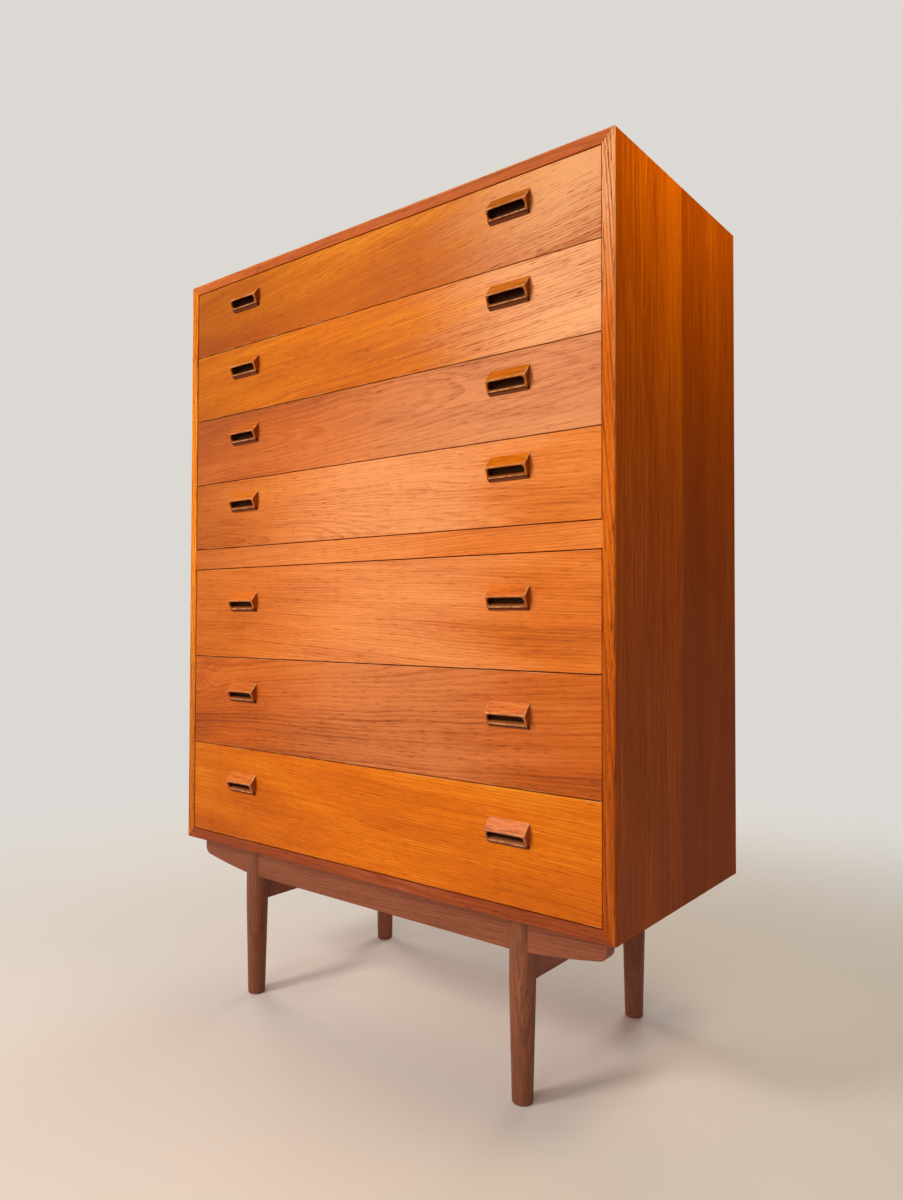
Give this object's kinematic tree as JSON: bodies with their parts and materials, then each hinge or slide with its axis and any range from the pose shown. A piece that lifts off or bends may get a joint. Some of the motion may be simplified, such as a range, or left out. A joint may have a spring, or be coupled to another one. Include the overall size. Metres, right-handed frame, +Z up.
{
  "type": "tall chest of drawers",
  "caption": "Tall teak chest of drawers: shallow drawers above a plain cross rail, deeper ones below, carved wedge handles, mitred case and a turned-leg base.",
  "frame": {"origin": "on the floor, under the centre of the overall box", "axes": "+X to the right seen from the front, front and handles towards -Y, +Z up"},
  "size_m": [0.9, 0.4257, 1.306],
  "materials": {
    "case_teak": "oiled teak veneer, satin",
    "front_teak": "oiled teak, satin",
    "handle_teak": "oiled solid teak, worn edges",
    "base_teak": "oiled solid teak, darker",
    "drawer_oak": "planed oak, waxed",
    "drawer_plywood": "thin plywood",
    "back_plywood": "stained plywood",
    "runner_beech": "planed beech, waxed",
    "screw_steel": "plated steel"
  },
  "bodies": {
    "case": {"left_side_panel": "case_teak", "right_side_panel": "case_teak", "top_panel": "case_teak", "bottom_panel": "case_teak", "back_panel": "back_plywood", "middle_rail": "front_teak", "drawer_runners": "runner_beech", "front_left_leg": "base_teak", "front_right_leg": "base_teak", "rear_left_leg": "base_teak", "rear_right_leg": "base_teak", "front_rail": "base_teak", "rear_rail": "base_teak", "left_side_rail": "base_teak", "right_side_rail": "base_teak", "runner_screws": "screw_steel", "base_screws": "screw_steel", "back_panel_screws": "screw_steel"},
    "drawer_1": {"drawer_1_front": "front_teak", "drawer_1_left_side": "drawer_oak", "drawer_1_right_side": "drawer_oak", "drawer_1_back": "drawer_oak", "drawer_1_bottom": "drawer_plywood", "drawer_1_handles": "handle_teak"},
    "drawer_2": {"drawer_2_front": "front_teak", "drawer_2_left_side": "drawer_oak", "drawer_2_right_side": "drawer_oak", "drawer_2_back": "drawer_oak", "drawer_2_bottom": "drawer_plywood", "drawer_2_handles": "handle_teak"},
    "drawer_3": {"drawer_3_front": "front_teak", "drawer_3_left_side": "drawer_oak", "drawer_3_right_side": "drawer_oak", "drawer_3_back": "drawer_oak", "drawer_3_bottom": "drawer_plywood", "drawer_3_handles": "handle_teak"},
    "drawer_4": {"drawer_4_front": "front_teak", "drawer_4_left_side": "drawer_oak", "drawer_4_right_side": "drawer_oak", "drawer_4_back": "drawer_oak", "drawer_4_bottom": "drawer_plywood", "drawer_4_handles": "handle_teak"},
    "drawer_5": {"drawer_5_front": "front_teak", "drawer_5_left_side": "drawer_oak", "drawer_5_right_side": "drawer_oak", "drawer_5_back": "drawer_oak", "drawer_5_bottom": "drawer_plywood", "drawer_5_handles": "handle_teak"},
    "drawer_6": {"drawer_6_front": "front_teak", "drawer_6_left_side": "drawer_oak", "drawer_6_right_side": "drawer_oak", "drawer_6_back": "drawer_oak", "drawer_6_bottom": "drawer_plywood", "drawer_6_handles": "handle_teak"},
    "drawer_7": {"drawer_7_front": "front_teak", "drawer_7_left_side": "drawer_oak", "drawer_7_right_side": "drawer_oak", "drawer_7_back": "drawer_oak", "drawer_7_bottom": "drawer_plywood", "drawer_7_handles": "handle_teak"}
  },
  "joints": [
    {"name": "drawer_1_slide", "type": "slide", "parent": "case", "child": "drawer_1", "axis": [0, -1, 0], "range_m": [0, 0.29]},
    {"name": "drawer_2_slide", "type": "slide", "parent": "case", "child": "drawer_2", "axis": [0, -1, 0], "range_m": [0, 0.29]},
    {"name": "drawer_3_slide", "type": "slide", "parent": "case", "child": "drawer_3", "axis": [0, -1, 0], "range_m": [0, 0.29]},
    {"name": "drawer_4_slide", "type": "slide", "parent": "case", "child": "drawer_4", "axis": [0, -1, 0], "range_m": [0, 0.29]},
    {"name": "drawer_5_slide", "type": "slide", "parent": "case", "child": "drawer_5", "axis": [0, -1, 0], "range_m": [0, 0.29]},
    {"name": "drawer_6_slide", "type": "slide", "parent": "case", "child": "drawer_6", "axis": [0, -1, 0], "range_m": [0, 0.29]},
    {"name": "drawer_7_slide", "type": "slide", "parent": "case", "child": "drawer_7", "axis": [0, -1, 0], "range_m": [0, 0.29]}
  ]
}
